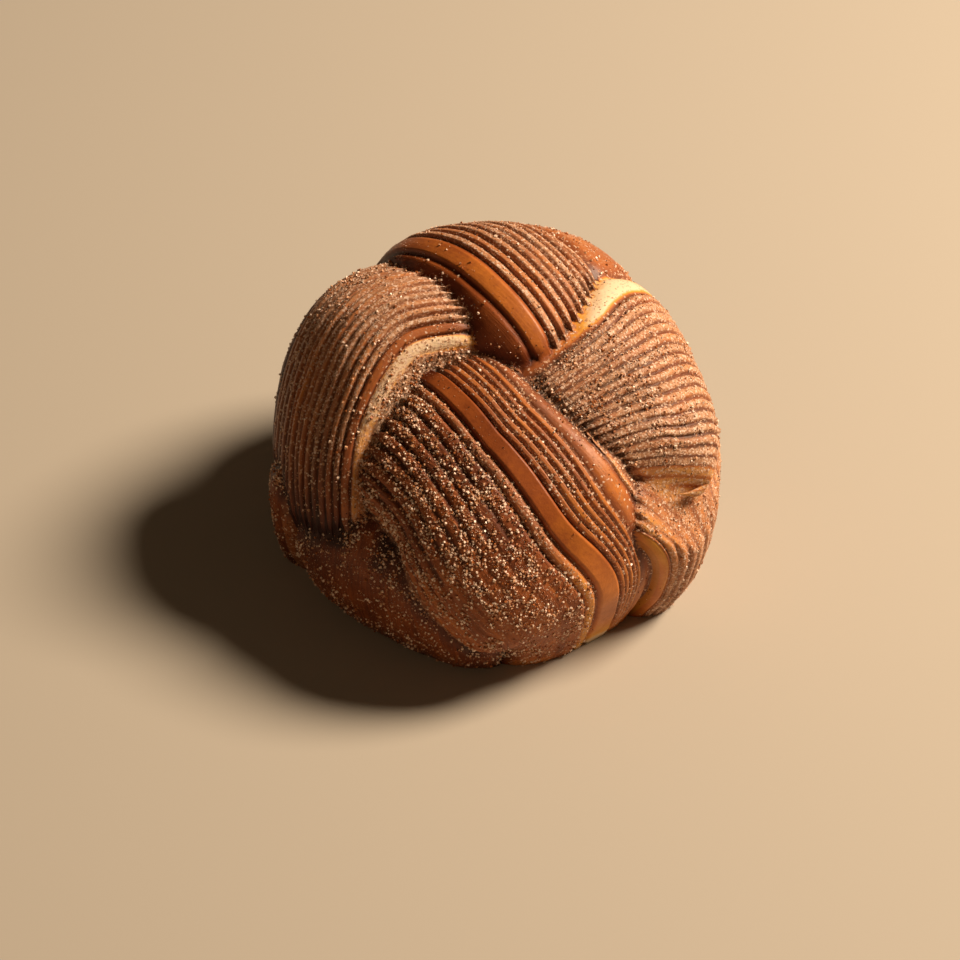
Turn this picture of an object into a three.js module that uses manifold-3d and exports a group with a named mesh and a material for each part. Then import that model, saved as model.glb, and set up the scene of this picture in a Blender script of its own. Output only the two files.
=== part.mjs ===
// Cardamom bun: four fat strands of laminated dough, each cut along its length so that its layers
// stand up as ridges. They lie like a pinwheel, every strand coming out from under one neighbour and
// going over the next, round a sunken middle. Four low turns of dough under them reach the flat base.
// Millimetres, +Z up, origin at the middle of the base.
import * as THREE from 'three';
import Module from 'manifold-3d';

// Driving dimensions.
const HEART_HEIGHT = 12;     // every strand's face looks away from this point on the upright axis
const SECTION_POWER = 2.5;   // a strand's section: 2 would be an ellipse, more is squarer
const RIDGE_POWER = 3;       // the higher, the flatter a ridge's top and the narrower its groove
const CORE_RADIUS = 36;      // the dough that fills the space under the strands
const CORE_TOP = 42;
const CORE_FOOT = -4;
const CORE_SIDES = 32;
const CORE_STEPS = 8;
const RINGS_OVER = 20;       // sections along an upper strand
const RINGS_LOW = 12;        // sections along a low turn
const UNDER_STEPS = 6;       // facets round a strand's hidden underside
const TRIM_SIZE = 200;       // the block that trims everything flat at the base

// An upper strand has the places that its middle passes through, and half its width and half its
// thickness at each of them. Its bands run from the inner side, 0, over the top to the outer side, 1.
// Each says where it ends at the strand's start and at its tip, how many ridges it has, how many
// facets make a ridge, and how deep its grooves are at the start and at the tip.
const FRONT = {
  path: [[-22, 3, 24], [-12.5, -8.8, 37.5], [-1, -19.3, 36.3], [7.9, -27.3, 30], [15.3, -26, 19], [15.5, -19.7, -3]],
  halfWidth: [18, 23, 25, 27.5, 24.3, 18.5],
  halfHeight: [12, 17, 17, 15.8, 14.5, 10.5],
  bands: [
    { end: [0.24, 0.24], ridges: 1, facets: 4, depth: [0.4, 0.4] },
    { end: [0.29, 0.31], ridges: 1, facets: 2, depth: [0.7, 0.7] },
    { end: [0.36, 0.46], ridges: 5, facets: 2, depth: [1.3, 1.1] },
    { end: [0.42, 0.57], ridges: 1, facets: 4, depth: [1.3, 1.0] },
    { end: [0.86, 0.90], ridges: 8, facets: 2, depth: [1.8, 0.4] },
    { end: [1, 1], ridges: 1, facets: 3, depth: [0.4, 0.2] },
  ],
};
const RIGHT = {
  path: [[-4, -14, 30], [12, -6.5, 40], [25.8, 1, 43.2], [32.1, 5.4, 41.4], [30, 5.5, 28.5], [25.5, 9, -4]],
  halfWidth: [19, 20, 25.5, 29.4, 26, 20],
  halfHeight: [14.5, 18, 17.3, 13, 12, 12],
  bands: [
    { end: [0.44, 0.14], ridges: 1, facets: 6, depth: [0.2, 0.2] },
    { end: [0.94, 0.94], ridges: 19, facets: 2, depth: [1.2, 0.9] },
    { end: [1, 1], ridges: 1, facets: 2, depth: [0.4, 0.3] },
  ],
};
const BACK = {
  path: [[20, -7, 23], [14, 7, 36.5], [6.5, 19.5, 46.5], [-3, 30.5, 43.5], [-11.5, 35, 27], [-13, 31, -3]],
  halfWidth: [20, 24.5, 29, 29, 22.5, 18],
  halfHeight: [12.5, 18, 20.5, 18, 16, 12],
  bands: [
    { end: [0.15, 0.19], ridges: 1, facets: 4, depth: [0, 0] },
    { end: [0.21, 0.29], ridges: 1, facets: 4, depth: [1.0, 0.9] },
    { end: [0.50, 0.54], ridges: 9, facets: 2, depth: [1.6, 1.1] },
    { end: [0.70, 0.72], ridges: 1, facets: 4, depth: [1.0, 0.8] },
    { end: [0.94, 0.94], ridges: 5, facets: 2, depth: [0.8, 0.6] },
    { end: [1, 1], ridges: 1, facets: 2, depth: [0, 0] },
  ],
};
const LEFT = {
  path: [[6, 18, 34], [-9, 14, 46], [-23, 9, 46.5], [-31, -1, 36], [-31, -8.5, 21], [-24, -11, 5]],
  halfWidth: [18, 21, 22, 22, 22, 15],
  halfHeight: [12.5, 16, 17.5, 15, 14, 12],
  bands: [
    { end: [0.11, 0.12], ridges: 1, facets: 3, depth: [0, 0] },
    { end: [0.50, 0.44], ridges: 10, facets: 2, depth: [1.5, 0.4] },
    { end: [0.68, 0.62], ridges: 4, facets: 2, depth: [1.1, 0.1] },
    { end: [0.94, 0.94], ridges: 3, facets: 4, depth: [0.7, 0.2] },
    { end: [1, 1], ridges: 1, facets: 2, depth: [0, 0] },
  ],
};

// A low turn bulges out between two upper strands. It is given in its own plane, which is turned
// about the upright axis: distance out from the axis, then height.
const LOW_RIDGES = [
  { end: [0.10, 0.10], ridges: 1, facets: 2, depth: [0, 0] },
  { end: [0.92, 0.88], ridges: 10, facets: 2, depth: [0.9, 0.8] },
  { end: [1, 1], ridges: 1, facets: 3, depth: [0.8, 0.6] },
];
const LOW_SMOOTH = [
  { end: [0.10, 0.10], ridges: 1, facets: 2, depth: [0, 0] },
  { end: [0.90, 0.90], ridges: 6, facets: 4, depth: [0.35, 0.25] },
  { end: [1, 1], ridges: 1, facets: 2, depth: [0, 0] },
];
const LOW_FRONT = {
  turn: 238,
  profile: [[10, 28], [22, 29], [30.5, 20.5], [28, 10], [23, -3]],
  halfWidth: [22, 25, 27, 28, 23],
  halfHeight: [10, 11, 13, 14, 10],
  bands: LOW_SMOOTH,
};
const LOW_RIGHT = {
  turn: -5,
  profile: [[10, 27], [21, 33.3], [35.5, 28], [37, 12], [31, -3]],
  halfWidth: [20, 27, 26.4, 21, 16],
  halfHeight: [10, 12.5, 13, 11.5, 11],
  bands: LOW_RIDGES,
};
const LOW_BACK = {
  turn: 62,
  profile: [[10, 28], [22, 30], [32, 24], [32, 10], [28, -4]],
  halfWidth: [22, 25, 26, 25, 20],
  halfHeight: [10, 12, 12, 12, 12],
  bands: LOW_SMOOTH,
};
const LOW_LEFT = {
  turn: 162,
  profile: [[10, 28], [22, 30], [33.5, 24], [34, 10], [31, -4]],
  halfWidth: [22, 25, 28, 27.5, 22.5],
  halfHeight: [10, 12, 12, 12, 12.5],
  bands: LOW_SMOOTH,
};

const wasm = await Module();
wasm.setup();

// The points of a low turn's middle, swung round to where it lies.
function turnedPath({ turn, profile }) {
  const angle = THREE.MathUtils.degToRad(turn);
  return profile.map(([out, height]) => [out * Math.cos(angle), out * Math.sin(angle), height]);
}

// A smooth curve through points of three numbers.
function curveThrough(points) {
  return new THREE.CatmullRomCurve3(points.map((p) => new THREE.Vector3(...p)), false, 'catmullrom', 0.5);
}

// How far down a ridge's flank is at a place across it: 0 on the top, 1 in the groove at each side.
function flank(across) {
  return Math.abs(2 * across - 1) ** RIDGE_POWER;
}

// The places round a strand's section, as the angle from its inner side and the depth below the
// plain section, a share t of the way along the strand.
function sectionPlaces(bands, t) {
  const mix = ([first, last]) => THREE.MathUtils.lerp(first, last, t);
  const places = [];
  let start = 0;
  let depthBefore = 0;
  for (const band of bands) {
    const end = mix(band.end);
    const depth = mix(band.depth);
    for (let ridge = 0; ridge < band.ridges; ridge += 1) {
      for (let facet = 0; facet < band.facets; facet += 1) {
        const across = facet / band.facets;
        const share = start + (end - start) * ((ridge + across) / band.ridges);
        const groove = ridge === 0 && facet === 0 ? Math.max(depth, depthBefore) : depth;
        places.push({ angle: share * Math.PI, depth: groove * flank(across) });
      }
    }
    start = end;
    depthBefore = depth;
  }
  for (let step = 0; step < UNDER_STEPS; step += 1) {
    places.push({ angle: Math.PI * (1 + step / UNDER_STEPS), depth: step === 0 ? depthBefore : 0 });
  }
  return places;
}

// A strand as one closed solid: its section swept along its middle, with a flat cap at each end.
function strandSolid({ path, halfWidth, halfHeight, bands }, rings) {
  const middle = curveThrough(path);
  const sizes = curveThrough(halfWidth.map((width, i) => [width, halfHeight[i], 0]));
  const heart = new THREE.Vector3(0, 0, HEART_HEIGHT);
  const vertices = [];
  const triangles = [];
  let round = 0;
  for (let ring = 0; ring < rings; ring += 1) {
    const t = ring / (rings - 1);
    const centre = middle.getPoint(t);
    const along = middle.getTangent(t);
    const up = centre.clone().sub(heart);
    up.addScaledVector(along, -up.dot(along)).normalize();
    const inward = new THREE.Vector3().crossVectors(up, along);
    const size = sizes.getPoint(t);
    const places = sectionPlaces(bands, t);
    round = places.length;
    for (const { angle, depth } of places) {
      const cos = Math.cos(angle);
      const sin = Math.sin(angle);
      const corner = Math.abs(cos) ** SECTION_POWER + Math.abs(sin) ** SECTION_POWER;
      const reach = corner ** (-1 / SECTION_POWER);
      const point = centre.clone();
      point.addScaledVector(inward, (size.x * reach - depth) * cos);
      point.addScaledVector(up, (size.y * reach - depth) * sin);
      vertices.push(point.x, point.y, point.z);
    }
  }
  for (let ring = 0; ring < rings - 1; ring += 1) {
    for (let j = 0; j < round; j += 1) {
      const next = (j + 1) % round;
      const a = ring * round + j;
      const b = ring * round + next;
      const c = b + round;
      const d = a + round;
      triangles.push(a, b, c, a, c, d);
    }
  }
  const firstCap = vertices.length / 3;
  const lastCap = firstCap + 1;
  const lastRing = (rings - 1) * round;
  vertices.push(...middle.getPoint(0).toArray(), ...middle.getPoint(1).toArray());
  for (let j = 0; j < round; j += 1) {
    const next = (j + 1) % round;
    triangles.push(firstCap, next, j, lastCap, lastRing + j, lastRing + next);
  }
  return toSolid(vertices, triangles);
}

// A closed mesh as a solid that can be joined and cut.
function toSolid(vertices, triangles) {
  return new wasm.Manifold(new wasm.Mesh({
    numProp: 3,
    vertProperties: new Float32Array(vertices),
    triVerts: new Uint32Array(triangles),
  }));
}

// The dome of dough under the strands, steep at the side and rounded over at the top.
function coreSolid() {
  const vertices = [0, 0, CORE_FOOT];
  const triangles = [];
  for (let step = 0; step < CORE_STEPS; step += 1) {
    const share = step / CORE_STEPS;
    const radius = CORE_RADIUS * Math.sqrt(1 - share ** 3);
    const height = THREE.MathUtils.lerp(CORE_FOOT, CORE_TOP, share);
    for (let side = 0; side < CORE_SIDES; side += 1) {
      const angle = (2 * Math.PI * side) / CORE_SIDES;
      vertices.push(radius * Math.cos(angle), radius * Math.sin(angle), height);
    }
  }
  const top = vertices.length / 3;
  vertices.push(0, 0, CORE_TOP);
  const at = (step, side) => 1 + step * CORE_SIDES + (side % CORE_SIDES);
  for (let side = 0; side < CORE_SIDES; side += 1) {
    triangles.push(0, at(0, side + 1), at(0, side));
    triangles.push(top, at(CORE_STEPS - 1, side), at(CORE_STEPS - 1, side + 1));
    for (let step = 0; step < CORE_STEPS - 1; step += 1) {
      triangles.push(at(step, side), at(step, side + 1), at(step + 1, side + 1));
      triangles.push(at(step, side), at(step + 1, side + 1), at(step + 1, side));
    }
  }
  return toSolid(vertices, triangles);
}

// Everything above the base, as a block.
function aboveBase() {
  const half = TRIM_SIZE / 2;
  const corners = [];
  for (const z of [0, TRIM_SIZE]) {
    corners.push(-half, -half, z, half, -half, z, half, half, z, -half, half, z);
  }
  const faces = [0, 2, 1, 0, 3, 2, 4, 5, 6, 4, 6, 7];
  for (let i = 0; i < 4; i += 1) {
    const next = (i + 1) % 4;
    faces.push(i, next, next + 4, i, next + 4, i + 4);
  }
  return toSolid(corners, faces);
}

// A solid's surface as geometry that stands on z = 0 with its box centred on the axis.
function standingGeometry(solid) {
  const { vertProperties, triVerts } = solid.getMesh();
  const geometry = new THREE.BufferGeometry();
  geometry.setAttribute('position', new THREE.BufferAttribute(vertProperties, 3));
  geometry.setIndex(new THREE.BufferAttribute(triVerts, 1));
  geometry.computeBoundingBox();
  const { min, max } = geometry.boundingBox;
  geometry.translate(-(min.x + max.x) / 2, -(min.y + max.y) / 2, -min.z);
  geometry.computeVertexNormals();
  return geometry;
}

let dough = coreSolid();
for (const low of [LOW_FRONT, LOW_RIGHT, LOW_BACK, LOW_LEFT]) {
  dough = dough.add(strandSolid({ ...low, path: turnedPath(low) }, RINGS_LOW));
}
for (const strand of [FRONT, RIGHT, BACK, LEFT]) {
  dough = dough.add(strandSolid(strand, RINGS_OVER));
}
dough = dough.intersect(aboveBase());

const crust = new THREE.MeshStandardMaterial({ color: '#8f4d20', roughness: 0.55, metalness: 0 });
const bun = new THREE.Mesh(standingGeometry(dough), crust);
bun.name = 'bun';

const part = new THREE.Group();
part.add(bun);

export default part;
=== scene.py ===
from math import cos, pi, radians, sin

import bpy
import numpy as np
from mathutils import Matrix, Vector, kdtree


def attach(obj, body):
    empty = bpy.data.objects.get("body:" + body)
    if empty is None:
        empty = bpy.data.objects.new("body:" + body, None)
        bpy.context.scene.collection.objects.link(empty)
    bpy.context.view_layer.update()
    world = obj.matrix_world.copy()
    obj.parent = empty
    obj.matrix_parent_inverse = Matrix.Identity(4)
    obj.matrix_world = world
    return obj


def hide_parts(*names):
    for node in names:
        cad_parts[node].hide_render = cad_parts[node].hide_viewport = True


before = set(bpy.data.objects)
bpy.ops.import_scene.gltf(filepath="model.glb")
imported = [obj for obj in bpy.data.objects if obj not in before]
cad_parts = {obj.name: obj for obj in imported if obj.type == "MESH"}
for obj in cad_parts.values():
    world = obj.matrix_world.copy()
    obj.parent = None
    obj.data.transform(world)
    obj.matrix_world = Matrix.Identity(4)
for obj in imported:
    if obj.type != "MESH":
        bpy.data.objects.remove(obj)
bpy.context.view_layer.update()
scene = bpy.context.scene

# ------------------------------------------------------------------------------------------------
# The strands. The dough is rolled thin, folded over butter many times, cut into strips and braided,
# so each strand shows its cut layers as ridges between smooth uncut belts. Four upper strands cross
# over each other like a pinwheel, and four low turns close the side under them. Sizes in mm.
# ------------------------------------------------------------------------------------------------
MM = 0.001
HEART_HEIGHT = 12       # every strand's face looks away from this point on the upright axis
SECTION_POWER = 2.5     # a strand's section: 2 would be an ellipse, more is squarer
UNDER_STEPS = 12        # facets round a strand's hidden underside
HIDDEN_SHARE = 0.12     # the first part of each strand lies deep under its neighbour
HIDDEN_RINGS = 3
SHADED_GROOVE_DEPTH = 0.3     # a groove deeper than this gets painted shade in its hollow
RIDGE_WANDER = 0.0035   # how far the ridges wander, as a share of the section

# No two ridges are alike. At the least and at the most, one is this far sunk, this much slimmer, took
# up this much sugar and is this much browner. Flat ridges take up sugar alike, and deep ones don't.
RIDGE_LEAST, RIDGE_MOST = (0, -0.1, 0.3, -0.22), (0.3, 0.1, 1.6, 0.22)
LONE_RIDGE = (0, 0, 1, 0)
UNLIKE_FOR_EACH_MM = 0.7


def band(end, ridges, depth, facets=8, crest=(0.3, 1.0), **finish):
    """A stretch of a strand's section, which runs from 0 at the inner side over 0.5 on top to 1 outside.

    It reaches up to the share `end` and has this many ridges, with grooves `depth` mm deep, both given
    at even steps from the strand's start to its tip. Each ridge has this many facets. From the middle
    of a ridge, 0, to the middle of a groove, 1, the flank lies between the two shares of `crest`. The
    finish is given at even steps too: how much sugar, how many coarse crystals are in it, how thick
    the film of syrup and dust is, how far all this lies in the hollows instead of on the ridges, how
    pale, how dark, how smooth and shiny, and how olive from the butter.
    """
    # The dark finish is a browner crust, and in places painted shade, or painted light where it goes below
    # zero.
    values = dict(sugar=[0.6], coarse=[0.5], film=[0.3], hollow=[0.5],
                  pale=[0], dark=[0], smooth=[0], olive=[0])
    values.update(finish)
    return dict(end=end, ridges=ridges, depth=depth, facets=facets, crest=crest, finish=values)


STRANDS = {
    "front": dict(
        path=[(-22, 3, 24), (-12.5, -8.8, 37.5), (-1, -19.3, 36.3),
              (7.9, -27.3, 30), (15.3, -26, 19), (15.5, -19.7, -3)],
        half_width=[18, 23, 25, 27.5, 24.3, 18.5],
        half_height=[12, 17, 17, 15.8, 14.5, 10.5],
        rings=150,
        bands=[
            # The edge beside the right strand: dusty, then a pale seam, then smooth.
            band((0.21, 0.21, 0.215, 0.23, 0.235, 0.235), 1, (0.3, 0.3), facets=12,
                 sugar=[0.9, 0.8, 0.4], coarse=[0.3], dark=[0.2, 0, -0.1], film=[0.5, 0.2]),
            band((0.22, 0.22, 0.225, 0.24, 0.25, 0.25), 1, (0.3, 0.3), facets=5,
                 sugar=[0.5, 0.9], coarse=[0], pale=[0.2, 0.6, 0.9], film=[0.5, 0.9]),
            band((0.23, 0.245, 0.295, 0.315, 0.335, 0.33), 1, (0.5, 0.5), facets=14,
                 sugar=[0.12, 0.1, 0.03], coarse=[0.2], film=[0.2, 0.2, 0], smooth=[0.6],
                 dark=[-0.05, -0.1, -0.2, -0.45, -0.65]),
            # Five cords, the broad smooth belt and one more cord.
            band((0.33, 0.362, 0.408, 0.418, 0.408, 0.37), 5, (1.3, 1.3, 1.2, 1.0, 0.5, 0.1), facets=10,
                 crest=(0.35, 0.95), sugar=[0.45, 0.6], coarse=[0.3, 0.6], hollow=[0.85, 0.75],
                 dark=[0, -0.1, -0.35], film=[0.6, 0.3], smooth=[0.3]),
            band((0.39, 0.425, 0.47, 0.478, 0.493, 0.49), 1, (1.3, 1.0), facets=18, crest=(0.68, 1.0),
                 sugar=[0.08, 0.02, 0.02], coarse=[0.2], film=[0], smooth=[1],
                 dark=[0.2, 0.15, 0.1, -0.2, -0.4, -0.2], pale=[0] * 18 + [0.3, 1.2, 1.2]),
            band((0.42, 0.46, 0.505, 0.516, 0.536, 0.54), 1, (1.3, 1.1, 0.5), facets=9,
                 sugar=[0.8, 0.5], film=[0.3], pale=[0] * 6 + [0.15, 0.4, 0.5, 0.6, 1.3]),
            # The ridges under the thickest sugar, which flatten out towards the tip.
            band((0.86, 0.90), 9, (1.35, 0.95, 0.4, 0.12, 0.05), facets=9, crest=(0.5, 0.97),
                 sugar=[0.75, 0.9, 0.8], coarse=[0.8, 1], film=[0.1], hollow=[0.55, 0.5],
                 dark=[0.15, 0.1, -0.05], pale=[0] * 19 + [0.4, 0.8]),
            band((1, 1), 1, (0.4, 0.2), sugar=[0.4, 0.3], dark=[0.2, 0.1]),
        ],
    ),
    "right": dict(
        path=[(-4, -14, 30), (12, -6.5, 40), (25.8, 1, 43.2),
              (32.1, 5.4, 41.4), (30, 5.5, 28.5), (25.5, 9, -4)],
        half_width=[19, 20, 25.5, 29.4, 26, 20],
        half_height=[14.5, 18, 17.3, 13, 12, 12],
        rings=150,
        bands=[
            # The cream edge beside the back strand, then fine ridges down to the lower lip. Towards the tip
            # the outer ridges and the underside turn golden and are painted lighter, as painted light where
            # the overhang shades them.
            band((0.46, 0.16), 1, (0.2, 0.2), facets=16, crest=(0.8, 1.0), sugar=[0.08], coarse=[0],
                 film=[0.1, 0.2], pale=[-0.2, 0.1, 1.4, 0.9, 0.25, 0.1], smooth=[0.7]),
            band((0.80, 0.80), 16, (1.0, 0.6, 0.4), crest=(0.35, 0.95), sugar=[1.0, 0.7, 0.3, 0.2],
                 coarse=[0.3, 0], hollow=[0.45, 0.1, 0], dark=[0.25, 0.2, -0.3, -0.85],
                 film=[0.3, 0.6, 0.65, 0.5]),
            band((0.94, 0.94), 3, (1.0, 0.4, 0.3), crest=(0.35, 0.95), sugar=[0.8, 0.4, 0.3],
                 coarse=[0], hollow=[0.3, 0], dark=[0, -0.7, -0.9, -0.9], film=[0.5, 0.6]),
            band((1, 1), 1, (0, 0), facets=4, sugar=[0.3], coarse=[0], film=[0.3], dark=[-0.4, -1.0, -1.1]),
        ],
    ),
    "back": dict(
        path=[(20, -7, 23), (14, 7, 36.5), (6.5, 19.5, 46.5),
              (-3, 30.5, 43.5), (-11.5, 35, 27), (-13, 31, -3)],
        half_width=[20, 24.5, 29, 29, 22.5, 18],
        half_height=[12.5, 18, 20.5, 18, 16, 12],
        rings=140,
        bands=[
            # A smooth wall down to the middle, a belt, fine ridges, a second belt, and coarser ridges.
            band((0.15, 0.19), 1, (0, 0), facets=12, sugar=[0.1], film=[0], smooth=[0.5]),
            band((0.21, 0.29), 1, (1.0, 0.9), facets=16, crest=(0.6, 1.0), sugar=[0.06], film=[0],
                 smooth=[0.7], dark=[-0.45, -0.3, -0.1, 0.1]),
            band((0.50, 0.54), 9, (1.6, 1.1), facets=10, crest=(0.35, 1.0), sugar=[0.4, 0.45],
                 coarse=[0.1], hollow=[0.4], film=[0.55], smooth=[0.3], dark=[-0.05]),
            band((0.70, 0.72), 1, (1.0, 0.8), facets=16, crest=(0.6, 1.0), sugar=[0.15], film=[0.15],
                 smooth=[0.7], dark=[-0.15, -0.2]),
            band((0.94, 0.94), 5, (0.8, 0.6), sugar=[0.15, 0.4], pale=[0.9, 0.2, 0],
                 dark=[-0.1, -0.1, 0], film=[0.2, 0.4]),
            band((1, 1), 1, (0, 0), facets=4, sugar=[0.5]),
        ],
    ),
    "left": dict(
        path=[(6, 18, 34), (-9, 14, 46), (-23, 9, 46.5),
              (-31, -1, 36), (-31, -8.5, 21), (-24, -11, 5)],
        half_width=[18, 21, 22, 22, 22, 15],
        half_height=[12.5, 16, 17.5, 15, 14, 12],
        rings=140,
        bands=[
            # A dark dusty edge, the cream rim and a smooth cord beside the front strand.
            band((0.05, 0.07), 1, (0, 0), facets=6, sugar=[0.6, 1.0, 1.0], dark=[0.3, 0.6, 0.5],
                 film=[0.8, 1.2]),
            band((0.115, 0.125), 1, (0.4, 0.2), sugar=[0.2, 0.4, 0.8, 0.7, 0.2], coarse=[0.2],
                 film=[0, 0.3, 0.9, 0.6, 0], pale=[1.2, 1.2, 1.2, 0.6, 0.1]),
            band((0.16, 0.17), 1, (0.8, 0.4), facets=12, crest=(0.5, 1.0), sugar=[0.2], film=[0.15],
                 smooth=[0.6]),
            # Ridges, which get wider and smoother towards the outer side and the tip, and darker there with
            # painted shade on the side turned from the light.
            band((0.50, 0.44), 9, (1.6, 1.3, 0.4), facets=9, crest=(0.35, 1.0),
                 sugar=[0.5, 0.6, 0.7, 0.3, 0.03, 0.02], coarse=[0, 0.1, 0.5], hollow=[0.4],
                 dark=[-0.15, -0.15, -0.15, -0.1, 0.65, 0.6], film=[0.7, 0.75, 0.8, 0.5, 0, 0]),
            band((0.68, 0.62), 4, (1.2, 1.0, 0.1), facets=9, crest=(0.35, 1.0),
                 sugar=[0.5, 0.6, 0.5, 0.2, 0.05, 0.02], coarse=[0.1, 0.5],
                 film=[0.9, 0.8, 0.7, 0.3, 0, 0], smooth=[0.1, 0.7], dark=[-0.1, -0.05, 0, 0.2, 0.55, 0.6]),
            band((0.94, 0.94), 3, (0.7, 0.2), facets=9, sugar=[0.4, 0.15, 0.03], film=[0.3, 0, 0],
                 smooth=[0.2, 0.8], dark=[0.1, 0.3, 0.4]),
            band((1, 1), 1, (0, 0), facets=4, sugar=[0.4, 0.2], dark=[0.1, 0.3]),
        ],
    ),
}

# The low turn on the right has fine ridges and ends in a smooth, pale golden lip. The other three are nearly
# smooth and brown, painted darker as shade at the foot of the bun.
LOW_RIDGED = [
    band((0.10, 0.10), 1, (0, 0), facets=4),
    band((0.82, 0.79), 13, (0.5, 0.7, 0.6), crest=(0.35, 0.95), sugar=[0.4, 0.7, 0.9], coarse=[0.1],
         hollow=[0.35], dark=[-0.5, -0.6, -0.2, 0], film=[0.4, 0.6, 0.8]),
    band((0.92, 0.88), 2, (0.5, 0.7, 0.6), crest=(0.35, 0.95), sugar=[0.5, 0.7, 0.9], coarse=[0.1],
         dark=[-0.5, -0.6, -0.2, 0], film=[0.6, 0.6, 0.8], pale=[0.5, 0.5, 0.3, 0, 0]),
    band((0.93, 0.895), 1, (0.2, 0.2), facets=5, sugar=[0.3], coarse=[0], film=[0.3],
         pale=[0.9, 0.7, 0.2, 0, 0]),
    band((0.965, 0.955), 1, (0, 0), sugar=[0.05], film=[0], smooth=[1], dark=[-0.8, -0.65, -0.5],
         pale=[0.4, 0.4, 0.2, 0, 0]),
    band((1, 1), 1, (0, 0), sugar=[0.05], film=[0], smooth=[1], dark=[-0.9, -0.7], olive=[0.4, 0.9]),
]
LOW_SMOOTH = [
    band((0.10, 0.10), 1, (0, 0), facets=4, sugar=[0.4]),
    band((0.90, 0.90), 6, (0.35, 0.25), facets=12, sugar=[0.4, 0.55], coarse=[0.8], dark=[0.3, 0.4],
         film=[0.05]),
    band((1, 1), 1, (0, 0), facets=4, sugar=[0.4]),
]


def low_turn(turn, profile, half_width, half_height, bands):
    """A low turn's middle lies in an upright plane swung round the axis: distance out, then height."""
    c, s = cos(radians(turn)), sin(radians(turn))
    path = [(out * c, out * s, height) for out, height in profile]
    return dict(path=path, half_width=half_width, half_height=half_height, rings=64, bands=bands)


STRANDS["low_front"] = low_turn(238, [(10, 28), (22, 29), (30.5, 20.5), (28, 10), (23, -3)],
                                [22, 25, 27, 28, 23], [10, 11, 13, 14, 10], LOW_SMOOTH)
STRANDS["low_right"] = low_turn(-5, [(10, 27), (21, 33.3), (35.5, 28), (37, 12), (31, -3)],
                                [20, 27, 26.4, 21, 16], [10, 12.5, 13, 11.5, 11], LOW_RIDGED)
STRANDS["low_back"] = low_turn(62, [(10, 28), (22, 30), (32, 24), (32, 10), (28, -4)],
                               [22, 25, 26, 25, 20], [10, 12, 12, 12, 12], LOW_SMOOTH)
STRANDS["low_left"] = low_turn(162, [(10, 28), (22, 30), (33.5, 24), (34, 10), (31, -4)],
                                [22, 25, 28, 27.5, 22.5], [10, 12, 12, 12, 12.5], LOW_SMOOTH)


def spline(points, t):
    """Places and directions on a smooth curve through the points: t is 0 at the first, 1 at the last."""
    p = np.asarray(points, float)
    spans = len(p) - 1
    q = np.vstack([2 * p[0] - p[1], p, 2 * p[-1] - p[-2]])
    span = np.minimum((t * spans).astype(int), spans - 1)
    f = (t * spans - span)[:, None]
    a, b, c, d = q[span], q[span + 1], q[span + 2], q[span + 3]
    square, cube = 2 * a - 5 * b + 4 * c - d, 3 * b - a - 3 * c + d
    place = 0.5 * (2 * b + (c - a) * f + square * f ** 2 + cube * f ** 3)
    return place, 0.5 * ((c - a) + 2 * square * f + 3 * cube * f ** 2)


FINISHES = ("groove", "sugar", "coarse", "film", "pale", "dark", "smooth", "olive")
LATTICE = 32            # the noise repeats after this many hills


def lumps(places, size, seed):
    """Smooth noise from -1 to 1, with hills about `size` apart."""
    lattice = np.random.default_rng(seed).uniform(-1, 1, (LATTICE,) * 3)
    p = np.asarray(places) / size
    cell = np.floor(p).astype(int)
    f = p - cell
    f = f * f * (3 - 2 * f)
    total = 0
    for corner in np.ndindex(2, 2, 2):
        weight = np.prod(np.where(corner, f, 1 - f), axis=-1)
        at = (cell + corner) % LATTICE
        total = total + weight * lattice[at[..., 0], at[..., 1], at[..., 2]]
    return total


def unit(vectors):
    return vectors / np.linalg.norm(vectors, axis=-1, keepdims=True)


def section_places(bands, t, seed):
    """Round a strand's section at each t: the share of the half turn, the groove depth, the finish."""
    rng = np.random.default_rng(seed)
    rows = []

    def mix(values):
        return np.interp(t, np.linspace(0, 1, len(values)), values)

    def curve(values):
        return spline([(value, 0) for value in values], t)[0][:, 0]

    start, depth_before = 0 * t, 0 * t
    for b in bands:
        end, depth = curve(b["end"]), np.maximum(curve(b["depth"]), 0)
        finish = {key: mix(values) for key, values in b["finish"].items()}
        hollow = finish.pop("hollow")
        for ridge in range(b["ridges"]):
            alone = b["ridges"] == 1
            sunk, narrowed, took, tone = LONE_RIDGE if alone else rng.uniform(RIDGE_LEAST, RIDGE_MOST)
            took = 1 + (took - 1) * np.minimum(UNLIKE_FOR_EACH_MM * depth, 1)
            for facet in range(b["facets"]):
                across = facet / b["facets"]
                low, high = b["crest"]
                rise = np.clip((abs(2 * across - 1) - low) / (high - low) + narrowed, 0, 1)
                flank = rise * rise * (3 - 2 * rise)
                groove = np.maximum(depth, depth_before) if ridge == facet == 0 else depth
                holds = 2 * (hollow * flank + (1 - hollow) * (1 - flank) * took)
                # A facet's groove finish is painted shade in the hollow of a deep groove.
                rows.append(dict(finish, share=start + (end - start) * (ridge + across) / b["ridges"],
                                 depth=groove * (flank + sunk * (1 - flank)),
                                 groove=flank * (groove > SHADED_GROOVE_DEPTH),
                                 sugar=finish["sugar"] * holds, film=finish["film"] * holds,
                                 dark=finish["dark"] + tone * (1 - flank)))
        start, depth_before = end, depth
    hidden = dict.fromkeys(FINISHES, 0 * t)
    hidden.update(sugar=0.3 + 0 * t, coarse=0.3 + 0 * t, film=0.3 + 0 * t, dark=-0.05 + 0 * t)
    for step in range(UNDER_STEPS):
        rows.append(dict(hidden, share=1 + step / UNDER_STEPS + 0 * t, depth=depth_before * (step == 0)))
    return {key: np.stack([row[key] for row in rows], axis=1) for key in rows[0]}


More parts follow.
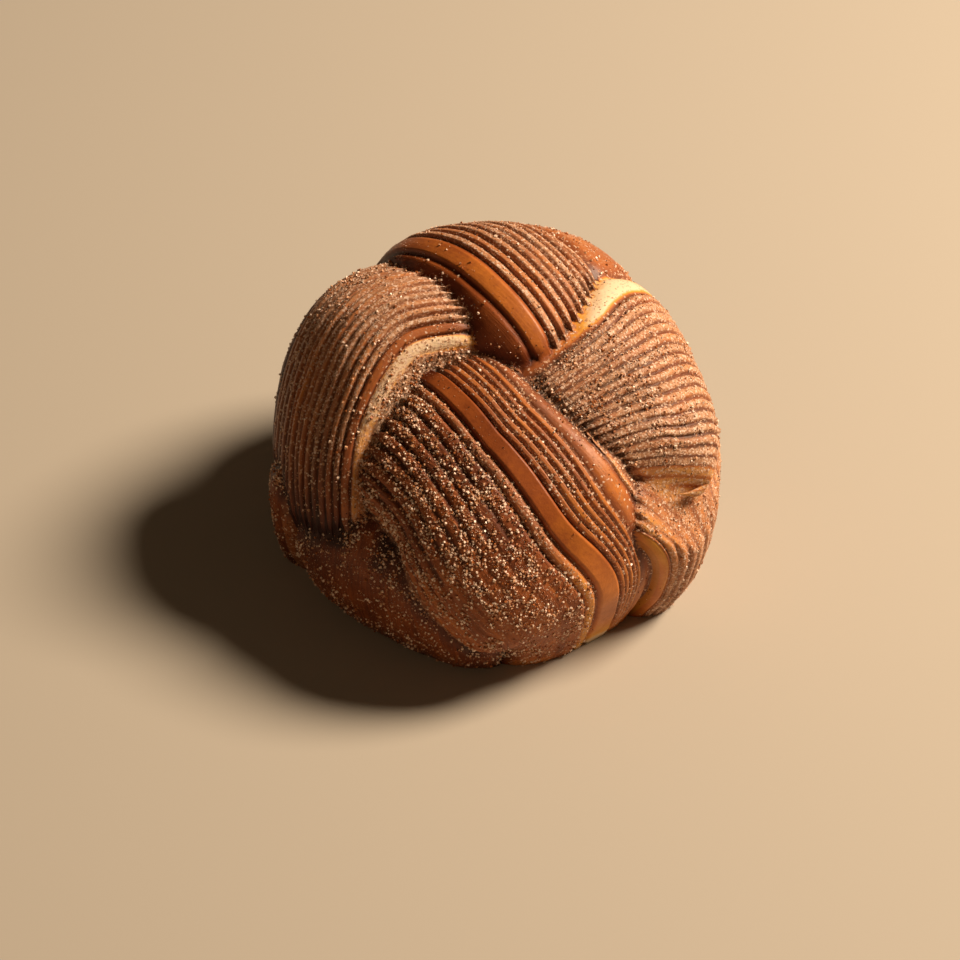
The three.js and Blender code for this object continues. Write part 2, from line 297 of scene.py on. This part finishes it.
def strand_mesh(strand, seed):
    """A strand as a closed mesh, with what its finish needs at each vertex."""
    t = np.concatenate([np.linspace(0, HIDDEN_SHARE, HIDDEN_RINGS, endpoint=False),
                        np.linspace(HIDDEN_SHARE, 1, strand["rings"])])
    centre, along = spline(strand["path"], t)
    along = unit(along)
    up = centre - (0, 0, HEART_HEIGHT)
    up = unit(up - (up * along).sum(axis=1, keepdims=True) * along)
    inward = np.cross(up, along)
    sizes = spline(np.stack([strand["half_width"], strand["half_height"]], axis=1), t)[0]
    run = np.concatenate([[0], np.cumsum(np.linalg.norm(np.diff(centre, axis=0), axis=1))])

    places = section_places(strand["bands"], t, seed)
    share = places["share"]
    rings, round_count = share.shape
    # The ridges wander a little, and each deepens and fades along its length, a smooth belt least. The
    # noise for both goes by the share round the section, the way along the strand, and the strand.
    own = np.stack([share * 9, np.repeat(run[:, None] / 16, round_count, 1), 0 * share + seed], axis=-1)
    visible = (share > 0) & (share < 1)
    share = share + visible * RIDGE_WANDER * lumps(own, 1, seed + 20)
    own[..., 0] = share * 24
    own[..., 1] *= 1.6
    uneven = 1 - 0.8 * places["smooth"]
    waver = 0.3 * lumps(own, 1, seed + 40) + 0.2 * lumps(own * 4, 1, seed + 60)
    depth = places["depth"] * (1 + uneven * waver)

    angle = share * pi
    c, s = np.cos(angle), np.sin(angle)
    reach = (abs(c) ** SECTION_POWER + abs(s) ** SECTION_POWER) ** (-1 / SECTION_POWER)
    side = (sizes[:, :1] * reach - depth) * c
    rise = (sizes[:, 1:] * reach - depth) * s
    grid = centre[:, None] + side[..., None] * inward[:, None] + rise[..., None] * up[:, None]
    # Proved dough is never even: its hills are 13 mm apart and up to 0.5 mm high, with small ones between.
    out = c[..., None] * inward[:, None] + s[..., None] * up[:, None]
    swell = 0.5 * lumps(grid, 13, 1) + 0.11 * lumps(grid, 4, 2)
    grid = grid + out * swell[..., None]

    vertices = np.vstack([grid.reshape(-1, 3), centre[0], centre[-1]])
    i = np.arange(rings - 1)[:, None] * round_count
    j = np.arange(round_count)[None]
    k = (j + 1) % round_count
    sides = np.stack([i + j, i + k, i + k + round_count, i + j + round_count], axis=-1).reshape(-1, 4)
    last = (rings - 1) * round_count
    first_cap, last_cap = rings * round_count, rings * round_count + 1
    caps = [(first_cap, n, m) for m, n in zip(j[0], k[0])]
    caps += [(last_cap, last + m, last + n) for m, n in zip(j[0], k[0])]

    finish = {key: places[key].reshape(-1) for key in FINISHES}
    finish["across"] = (share * sizes[:, :1] * pi).reshape(-1)
    finish["along"] = np.repeat(run, round_count)
    finish["share"] = share.reshape(-1)
    return vertices, sides.tolist() + caps, finish


def mesh_object(name, vertices, faces):
    """A new object from vertices in mm."""
    mesh = bpy.data.meshes.new(name)
    mesh.from_pydata((np.asarray(vertices) * MM).tolist(), [], faces)
    mesh.update()
    made = bpy.data.objects.new(name, mesh)
    scene.collection.objects.link(made)
    return made


# ------------------------------------------------------------------------------------------------
# The bun. In the oven the strands swell into each other and into the dough under them, so they are
# joined into one body, which is flat where it stood on the baking tray.
# ------------------------------------------------------------------------------------------------
CORE_RADIUS, CORE_TOP, CORE_FOOT = 36, 42, -4
CORE_SIDES, CORE_STEPS = 64, 16
TRIM = 100              # half the width and the whole height of the block that cuts the base flat
ON_TRAY = 0.01          # a place below this height lies on the tray


def core_mesh():
    """The dome of dough under the strands, steep at the side and rounded over at the top."""
    vertices, faces = [(0, 0, CORE_FOOT)], []
    for step in range(CORE_STEPS):
        share = step / CORE_STEPS
        radius = CORE_RADIUS * (1 - share ** 3) ** 0.5
        for side in range(CORE_SIDES):
            angle = 2 * pi * side / CORE_SIDES
            height = CORE_FOOT + (CORE_TOP - CORE_FOOT) * share
            vertices.append((radius * cos(angle), radius * sin(angle), height))
    top = len(vertices)
    vertices.append((0, 0, CORE_TOP))
    for side in range(CORE_SIDES):
        a, b = 1 + side, 1 + (side + 1) % CORE_SIDES
        faces.append((0, b, a))
        for step in range(CORE_STEPS - 1):
            below, above = step * CORE_SIDES, (step + 1) * CORE_SIDES
            faces.append((a + below, b + below, b + above, a + above))
        last = (CORE_STEPS - 1) * CORE_SIDES
        faces.append((top, a + last, b + last))
    return vertices, faces


def square(half):
    """The corners of a square round the middle, anticlockwise."""
    return [(-half, -half), (half, -half), (half, half), (-half, half)]


def block_mesh():
    """Everything above the tray."""
    corners = [(x, y, z) for z in (0, TRIM) for x, y in square(TRIM)]
    sides = [(n, (n + 1) % 4, (n + 1) % 4 + 4, n + 4) for n in range(4)]
    return corners, [(0, 3, 2, 1), (4, 5, 6, 7)] + sides


def combine(target, other, operation):
    modifier = target.modifiers.new(other.name, "BOOLEAN")
    modifier.operation, modifier.solver, modifier.object = operation, "MANIFOLD", other


bun = mesh_object("bun_crust", *core_mesh())
helpers, all_places, all_finish = [], [], []
for number, (name, strand) in enumerate(STRANDS.items()):
    vertices, faces, finish = strand_mesh(strand, number)
    helpers.append(mesh_object(name, vertices, faces))
    combine(bun, helpers[-1], "UNION")
    all_places.append(vertices[:-2])
    finish["strand"] = np.full(len(vertices) - 2, number)
    all_finish.append(finish)
helpers.append(mesh_object("above_tray", *block_mesh()))
combine(bun, helpers[-1], "INTERSECT")
joined = bpy.data.meshes.new_from_object(bun.evaluated_get(bpy.context.evaluated_depsgraph_get()))
bun.modifiers.clear()
bun.data = joined
for helper in helpers:
    bpy.data.objects.remove(helper)


def rows_of(elements, name, width, kind=float):
    """What a mesh holds for each vertex, edge or triangle, as one row of an array each."""
    flat = np.empty(len(elements) * width, kind)
    elements.foreach_get(name, flat)
    return flat.reshape(-1, width)


def tree_of(points, numbers):
    """A tree that finds the nearest of these points, by their numbers."""
    tree = kdtree.KDTree(len(numbers))
    for n in numbers:
        tree.insert(points[n], n)
    tree.balance()
    return tree


# Each vertex takes its finish from the nearest vertex of a strand.
places = rows_of(joined.vertices, "co", 3) / MM
strand_places = np.vstack(all_places)
tree = tree_of(strand_places, range(len(strand_places)))
nearest = np.array([tree.find(place)[1] for place in places])
finish = {key: np.concatenate([f[key] for f in all_finish])[nearest] for key in all_finish[0]}

# How near each vertex is to another strand: 1 in the crease, 0 from CREASE_REACH mm away. The
# crust is pressed in there, so that each strand stays round up to its neighbour.
CREASE_REACH = 4.0
CREASE_DEPTH = 0.8
crease = np.zeros(len(places))
for number in range(len(STRANDS)):
    tree = tree_of(places, np.flatnonzero(finish["strand"] != number))
    for n in np.flatnonzero(finish["strand"] == number):
        crease[n] = max(0, 1 - tree.find(places[n])[2] / CREASE_REACH)

# The right strand runs on into the low turn under it, so the step between those two is eased out, by
# moving each vertex towards the middle of its neighbours: in full up to half of RUN_ON_REACH mm from
# the other one, and not at all beyond all of it. The strand's lip takes a longer reach. The easing
# starts 1 mm from the front strand, and fades out over the lowest 3 mm.
RUN_ON_REACH = 9.0
LIP_SHARES, LIP_REACH = (0.7, 0.85), (1, 1.8)
EASING_ROUNDS, EASING_STEP = 150, 0.6
order = list(STRANDS)


def distance_to(vertices, name):
    """How far in mm each of these vertices is from a strand."""
    tree = tree_of(places, np.flatnonzero(finish["strand"] == order.index(name)))
    return np.array([tree.find(places[n])[2] for n in vertices])


eased = np.zeros(len(places))
for name, other in (("right", "low_right"), ("low_right", "right")):
    own = np.flatnonzero(finish["strand"] == order.index(name))
    longer = np.interp(finish["share"][own], LIP_SHARES, LIP_REACH) if name == "right" else 1
    near = 2 - 2 * distance_to(own, other) / (RUN_ON_REACH * longer)
    apart = distance_to(own, "front") / 2 - 0.5
    eased[own] = np.clip(np.minimum(near, apart), 0, 1) * np.clip(places[own, 2] / 3, 0, 1)
crease *= 1 - eased
ends = rows_of(joined.edges, "vertices", 2, int)
one, two = ends.T
neighbours = np.bincount(ends.reshape(-1), minlength=len(places))[:, None]
for _ in range(EASING_ROUNDS):
    gathered = np.stack([np.bincount(one, places[two, axis], len(places))
                         + np.bincount(two, places[one, axis], len(places)) for axis in range(3)], axis=1)
    places += EASING_STEP * eased[:, None] * (gathered / neighbours - places)
joined.vertices.foreach_set("co", (places * MM).reshape(-1))
joined.update()

# The outer fifth of a crease's reach isn't pressed in, and neither is the base.
outward = rows_of(joined.vertex_normals, "vector", 3)
pressed = CREASE_DEPTH * np.clip(1.25 * crease - 0.25, 0, 1) ** 2
places -= outward * (pressed * (places[:, 2] > ON_TRAY))[:, None]

# The bun stands in the middle of its box, as the solid does.
low, high = places.min(axis=0), places.max(axis=0)
middle = (low + high) / 2
places -= (middle[0], middle[1], low[2])
joined.vertices.foreach_set("co", (places * MM).reshape(-1))
joined.polygons.foreach_set("use_smooth", [True] * len(joined.polygons))
joined.update()
print("bun", len(joined.vertices), "vertices", sum(len(p.vertices) - 2 for p in joined.polygons), "triangles")


def paint(name, values):
    joined.attributes.new(name, "FLOAT", "POINT").data.foreach_set("value", np.asarray(values, float))


# Sugar lies in patches.
sugar = finish["sugar"] * (0.8 + 0.5 * lumps(places, 9, 70)) * (0.8 + 0.5 * lumps(places, 3, 71))
sugar = np.clip(sugar, 0, 1.6)
# Of these, groove is painted shade in deep hollows, and dark holds browning with, in places, painted shade or
# painted light.
for key in ("groove", "film", "pale", "dark", "smooth", "olive"):
    paint(key, finish[key])
# The crease nearness also darkens the crust's colour there, partly as deeper browning and partly as painted
# shade.
paint("crease", crease)
# Where each vertex lies across and along the layers, with the strands' patterns set apart.
grain = np.stack([finish["across"], finish["along"], finish["strand"] * 37.0], axis=1)
joined.attributes.new("grain", "FLOAT_VECTOR", "POINT").data.foreach_set("vector", grain.reshape(-1))


def linear(hex_colour):
    """A colour from sRGB hex, as the linear numbers that a shader takes."""
    channels = [int(hex_colour[i:i + 2], 16) / 255 for i in (1, 3, 5)]
    return [c / 12.92 if c <= 0.04045 else ((c + 0.055) / 1.055) ** 2.4 for c in channels] + [1]


def fill(owner, node, inputs):
    """Set each input of a material's or world's node to its value, or link it to another output."""
    for key, value in inputs.items():
        if isinstance(value, bpy.types.NodeSocket):
            owner.node_tree.links.new(value, node.inputs[key])
        else:
            node.inputs[key].default_value = value


def add(material, kind, inputs=None, **settings):
    """A new node with its settings and its inputs."""
    node = material.node_tree.nodes.new("ShaderNode" + kind)
    for key, value in settings.items():
        setattr(node, key, value)
    fill(material, node, inputs or {})
    return node


def new_material(name):
    material = bpy.data.materials.new(name)
    material.use_nodes = True
    return material, material.node_tree.nodes["Principled BSDF"]


def crust_material():
    """Egg-glazed laminated dough, baked: brown where the oven's heat reached, golden and cream where
    a layer was sheltered, with the thin shine of the glaze and a veil of syrup and sugar dust."""
    m, shader = new_material("baked_dough_crust")

    def read(name):
        return add(m, "Attribute", attribute_name=name).outputs["Fac"]

    def value(operation, *inputs, clamp=False):
        return add(m, "Math", dict(enumerate(inputs)), operation=operation, use_clamp=clamp).outputs[0]

    def total(base, *terms):
        for source, weight in terms:
            base = value("MULTIPLY_ADD", source, weight, base)
        return base

    def ramp(share, *stops):
        node = add(m, "ValToRGB", {"Fac": share})
        while len(node.color_ramp.elements) < len(stops):
            node.color_ramp.elements.new(0.5)
        for element, (position, colour) in zip(node.color_ramp.elements, stops):
            element.position, element.color = position, linear(colour)
        return node.outputs[0]

    def blend(share, a, b):
        return add(m, "Mix", {0: share, 6: a, 7: b}, data_type="RGBA").outputs[2]

    spot = add(m, "NewGeometry").outputs["Position"]
    grain_spot = add(m, "Attribute", attribute_name="grain").outputs["Vector"]

    def noise(where, scale, detail=3.0, roughness=0.55):
        return add(m, "TexNoise", {"Vector": where, "Scale": scale, "Detail": detail,
                                   "Roughness": roughness}).outputs["Fac"]

    # Streaks along the layers, 0.7 mm across and 9 mm long, nearly none on a smooth belt.
    stretched = add(m, "Mapping", {"Vector": grain_spot, "Scale": (1 / 0.7, 1 / 9, 1)}).outputs[0]
    streaks = noise(stretched, 1.0, 4.0, 0.6)
    layered = total(1.0, (read("smooth"), -0.92))
    patches = noise(spot, 1 / (13 * MM), 2.0)
    mottle = noise(spot, 1 / (1.3 * MM), 4.0, 0.65)

    # How dark the crust is, 0 cream to 1 dark mahogany: how far it has browned, with painted shade in the
    # deep grooves and in the creases between strands, and the bands' dark finish, which is in places painted
    # shade or painted light.
    browning_and_shade = total(0.3, (patches, 0.4), (value("SUBTRACT", streaks, 0.5), value("MULTIPLY", layered, 0.45)),
                 (mottle, 0.2), (read("dark"), 0.42), (read("groove"), 0.24), (read("pale"), -0.55),
                 (value("POWER", read("crease"), 1.5), 0.25))
    browned_and_shaded = ramp(browning_and_shade, (0.0, "#efd2ac"), (0.2, "#e4a03c"), (0.4, "#c7742d"), (0.58, "#9b5022"),
                   (0.76, "#672a08"), (1.0, "#300d03"))
    browned_and_shaded = blend(value("MULTIPLY", read("olive"), 0.6), browned_and_shaded, linear("#a8721a"))

    # Dried syrup veils the ridges, thinner and thicker along the layers.
    veil = value("MULTIPLY", read("film"), total(-0.35, (streaks, 1.7)), clamp=True)
    browned_and_shaded = blend(value("MULTIPLY", veil, 0.75), browned_and_shaded, linear("#dcae88"))

    # Sugar dust: specks 0.4 mm apart, from brown, where the syrup soaked them, to nearly white.
    specks = add(m, "TexVoronoi", {"Vector": spot, "Scale": 1 / (0.4 * MM)}).outputs["Color"]
    speck = add(m, "SeparateColor", {"Color": specks})
    drift = noise(spot, 1 / (2.5 * MM), 3.0)
    amount = value("MULTIPLY", read("film"), total(0.0, (drift, 1.2)))
    dusted = value("LESS_THAN", speck.outputs[0], amount)
    dust = ramp(speck.outputs[1], (0.0, "#965c36"), (0.45, "#cd9a74"), (1.0, "#f0d4be"))
    colour = blend(value("MULTIPLY", dusted, 0.8), browned_and_shaded, dust)
    rough = total(0.44, (read("smooth"), -0.12), (dusted, 0.3), (mottle, 0.2))

    # Flakes 0.45 mm across and 3 mm long, pores 0.5 mm apart, and the dust standing proud.
    fine = add(m, "Mapping", {"Vector": grain_spot, "Scale": (1 / 0.45, 1 / 3, 1)}).outputs[0]
    pores = noise(spot, 1 / (0.5 * MM), 3.0, 0.6)
    flakes = value("MULTIPLY", noise(fine, 1.0, 4.0, 0.6), layered)
    height = total(flakes, (pores, 0.35), (value("MULTIPLY", dusted, speck.outputs[1]), 0.7))
    bump = add(m, "Bump", {"Height": height, "Strength": 0.5, "Distance": 0.35 * MM})
    fill(m, shader, {"Base Color": colour, "Roughness": rough, "Normal": bump.outputs[0], "IOR": 1.46,
                     "Specular IOR Level": 0.3, "Coat Weight": 0.06, "Coat Roughness": 0.35})
    return m


joined.materials.clear()
joined.materials.append(crust_material())
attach(bun, "root")
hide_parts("bun")

# ------------------------------------------------------------------------------------------------
# The sugar and the cardamom. The hot bun is brushed with syrup and turned in granulated sugar mixed
# with ground cardamom: clear crystals, finer broken grains, and dark flecks of seed.
# ------------------------------------------------------------------------------------------------
joined.calc_loop_triangles()
triangles = rows_of(joined.loop_triangles, "vertices", 3, int)
corners = places[triangles]
cross = np.cross(corners[:, 1] - corners[:, 0], corners[:, 2] - corners[:, 0])
area = np.linalg.norm(cross, axis=1) / 2
facing = cross / np.maximum(2 * area, 1e-9)[:, None]

# The shapes of one grain, about 1 across.
CUBE = (np.array([(x, y, z) for z in (-0.5, 0.5) for x, y in square(0.5)]),
        np.array([(0, 3, 2), (0, 2, 1), (4, 5, 6), (4, 6, 7), (0, 1, 5), (0, 5, 4), (1, 2, 6), (1, 6, 5),
                  (2, 3, 7), (2, 7, 6), (3, 0, 4), (3, 4, 7)]))
CHIP = (np.array([(1, 0, 0), (-1, 0, 0), (0, 1, 0), (0, -1, 0), (0, 0, 1), (0, 0, -1)]) * 0.5,
        np.array([(0, 2, 4), (2, 1, 4), (1, 3, 4), (3, 0, 4), (2, 0, 5), (1, 2, 5), (3, 1, 5), (0, 3, 5)]))
SPLINTER = (np.array([(1, 1, 1), (-1, -1, 1), (-1, 1, -1), (1, -1, -1)]) * 0.4,
            np.array([(0, 2, 1), (0, 1, 3), (0, 3, 2), (1, 2, 3)]))


def turns(count, rng):
    """Random rotations, as matrices."""
    w, x, y, z = unit(rng.normal(size=(count, 4))).T
    return np.stack([
        np.stack([1 - 2 * (y * y + z * z), 2 * (x * y - z * w), 2 * (x * z + y * w)], axis=-1),
        np.stack([2 * (x * y + z * w), 1 - 2 * (x * x + z * z), 2 * (y * z - x * w)], axis=-1),
        np.stack([2 * (x * z - y * w), 2 * (y * z + x * w), 1 - 2 * (x * x + y * y)], axis=-1)], axis=1)


def scatter(name, shape, count, smallest, largest, sink, weight, kinds, seed):
    """Grains stuck to the crust: as many as `count`, from smallest to largest mm, in one mesh.

    They lie thickest where `weight` is high and the crust faces up. The share `sink` of each is under
    the crust. `kinds` has the materials of the grains, each with its share of them.
    """
    rng = np.random.default_rng(seed)
    faces_up = np.clip(0.45 + 0.55 * facing[:, 2], 0.1, 1)
    chance = area * np.clip(weight[triangles].mean(axis=1), 0, None) * faces_up
    picked = rng.choice(len(triangles), count, p=chance / chance.sum())
    a, b = rng.uniform(size=(2, count))
    flip = a + b > 1
    a, b = np.where(flip, 1 - a, a), np.where(flip, 1 - b, b)
    spot = (corners[picked, 0] * (1 - a - b)[:, None] + corners[picked, 1] * a[:, None]
            + corners[picked, 2] * b[:, None])
    size = smallest + (largest - smallest) * rng.uniform(size=count) ** 1.6
    stretch = size[:, None] * rng.uniform(0.7, 1.15, size=(count, 3))
    spot = spot + facing[picked] * (size * (0.5 - sink))[:, None]
    template, faces = shape
    points = np.einsum("nij,nkj->nki", turns(count, rng), template[None] * stretch[:, None]) + spot[:, None]
    points[..., 2] = np.maximum(points[..., 2], ON_TRAY)
    offsets = np.arange(count)[:, None, None] * len(template)
    made = mesh_object(name, points.reshape(-1, 3), (faces[None] + offsets).reshape(-1, 3).tolist())
    materials, shares = zip(*kinds)
    for material in materials:
        made.data.materials.append(material)
    kind = np.repeat(rng.choice(len(kinds), count, p=shares), len(faces))
    made.data.polygons.foreach_set("material_index", kind)
    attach(made, "root")


def grain_material(name, colour, roughness):
    m, shader = new_material(name)
    fill(m, shader, {"Base Color": linear(colour), "Roughness": roughness, "IOR": 1.54})
    return m


# Dry crystals read as white, those wet with syrup take up some brown, and those melted into the glaze
# are amber. The seed is dull and nearly black.
dry_sugar = grain_material("dry_sugar", "#f2d4bb", 0.4)
wet_sugar = grain_material("syrupy_sugar", "#cf9a72", 0.4)
melted_sugar = grain_material("melted_sugar", "#a05a26", 0.4)
cardamom = grain_material("ground_cardamom", "#2b1a10", 0.8)
sugars = [(dry_sugar, 0.4), (wet_sugar, 0.38), (melted_sugar, 0.22)]

# The grains cling together in clumps some 2 mm apart.
clumps = np.clip(0.6 + 1.1 * lumps(places, 2.2, 80), 0, None)
scatter("sugar_crystals", CUBE, count=8500, smallest=0.24, largest=0.5, sink=0.2,
        weight=sugar ** 1.3 * clumps * finish["coarse"], kinds=sugars, seed=81)
scatter("sugar_fine", CHIP, count=17000, smallest=0.14, largest=0.28, sink=0.2,
        weight=sugar * (0.3 + clumps), kinds=sugars, seed=82)
scatter("sugar_dust", SPLINTER, count=36000, smallest=0.10, largest=0.20, sink=0.15,
        weight=sugar * (0.5 + clumps), kinds=sugars, seed=84)
scatter("cardamom_flecks", CHIP, count=1600, smallest=0.2, largest=0.42, sink=0.3,
        weight=sugar * (0.3 + clumps) + 0.03 + 0.4 * crease, kinds=[(cardamom, 1)], seed=83)

# ------------------------------------------------------------------------------------------------
# The studio: a pale floor, a large warm light from the right and behind, a weak one from the front
# left, and a long lens that looks down on the bun.
# ------------------------------------------------------------------------------------------------
FLOOR_HALF = 3000
floor = mesh_object("floor", [(x, y, 0) for x, y in square(FLOOR_HALF)], [(0, 1, 2, 3)])
paper, paper_shader = new_material("matte_paper")
fill(paper, paper_shader, {"Base Color": linear("#b5aa9b"), "Roughness": 0.9})
floor.data.materials.append(paper)

world = bpy.data.worlds.new("studio")
scene.world = world
world.use_nodes = True
fill(world, world.node_tree.nodes["Background"], {"Color": linear("#ffd9ac"), "Strength": 0.035})


def area_light(name, place, aim, size, power, colour):
    light = bpy.data.lights.new(name, "AREA")
    light.shape, light.size, light.energy = "DISK", size * MM, power
    light.color = linear(colour)[:3]
    made = bpy.data.objects.new(name, light)
    made.location = Vector(place) * MM
    made.rotation_mode = "QUATERNION"
    made.rotation_quaternion = ((Vector(aim) - Vector(place)) * MM).to_track_quat("-Z", "Y")
    scene.collection.objects.link(made)


BUN_HEART = (0, 0, 30)
area_light("key", (760, 260, 890), BUN_HEART, size=420, power=27, colour="#ffeacf")
area_light("fill", (-200, -450, 300), BUN_HEART, size=400, power=0.15, colour="#ffd9ac")

# The camera looks along +Y and down, and is tipped a little, as a hand-held one is. Its aim is given
# where the strands are, so it moves with the bun to the middle of the bun's box.
CAMERA_ELEVATION, CAMERA_ROLL = radians(41.5), radians(3.94)
CAMERA_DISTANCE, CAMERA_LENS = 650, 112.1
CAMERA_AIM = Vector((-2.37, -4.44, 22.98)) - Vector((middle[0], middle[1], low[2]))
look = Vector((0, cos(CAMERA_ELEVATION), -sin(CAMERA_ELEVATION)))
level = Vector((1, 0, 0))
rising = level.cross(look)
right = cos(CAMERA_ROLL) * level + sin(CAMERA_ROLL) * rising
top = cos(CAMERA_ROLL) * rising - sin(CAMERA_ROLL) * level
camera = bpy.data.objects.new("camera", bpy.data.cameras.new("camera"))
camera.data.lens = CAMERA_LENS
camera.data.sensor_width = 36
turned = Matrix((right, top, -look)).transposed().to_4x4()
camera.matrix_world = Matrix.Translation((CAMERA_AIM - look * CAMERA_DISTANCE) * MM) @ turned
scene.collection.objects.link(camera)
scene.camera = camera
scene.view_settings.view_transform = "Standard"
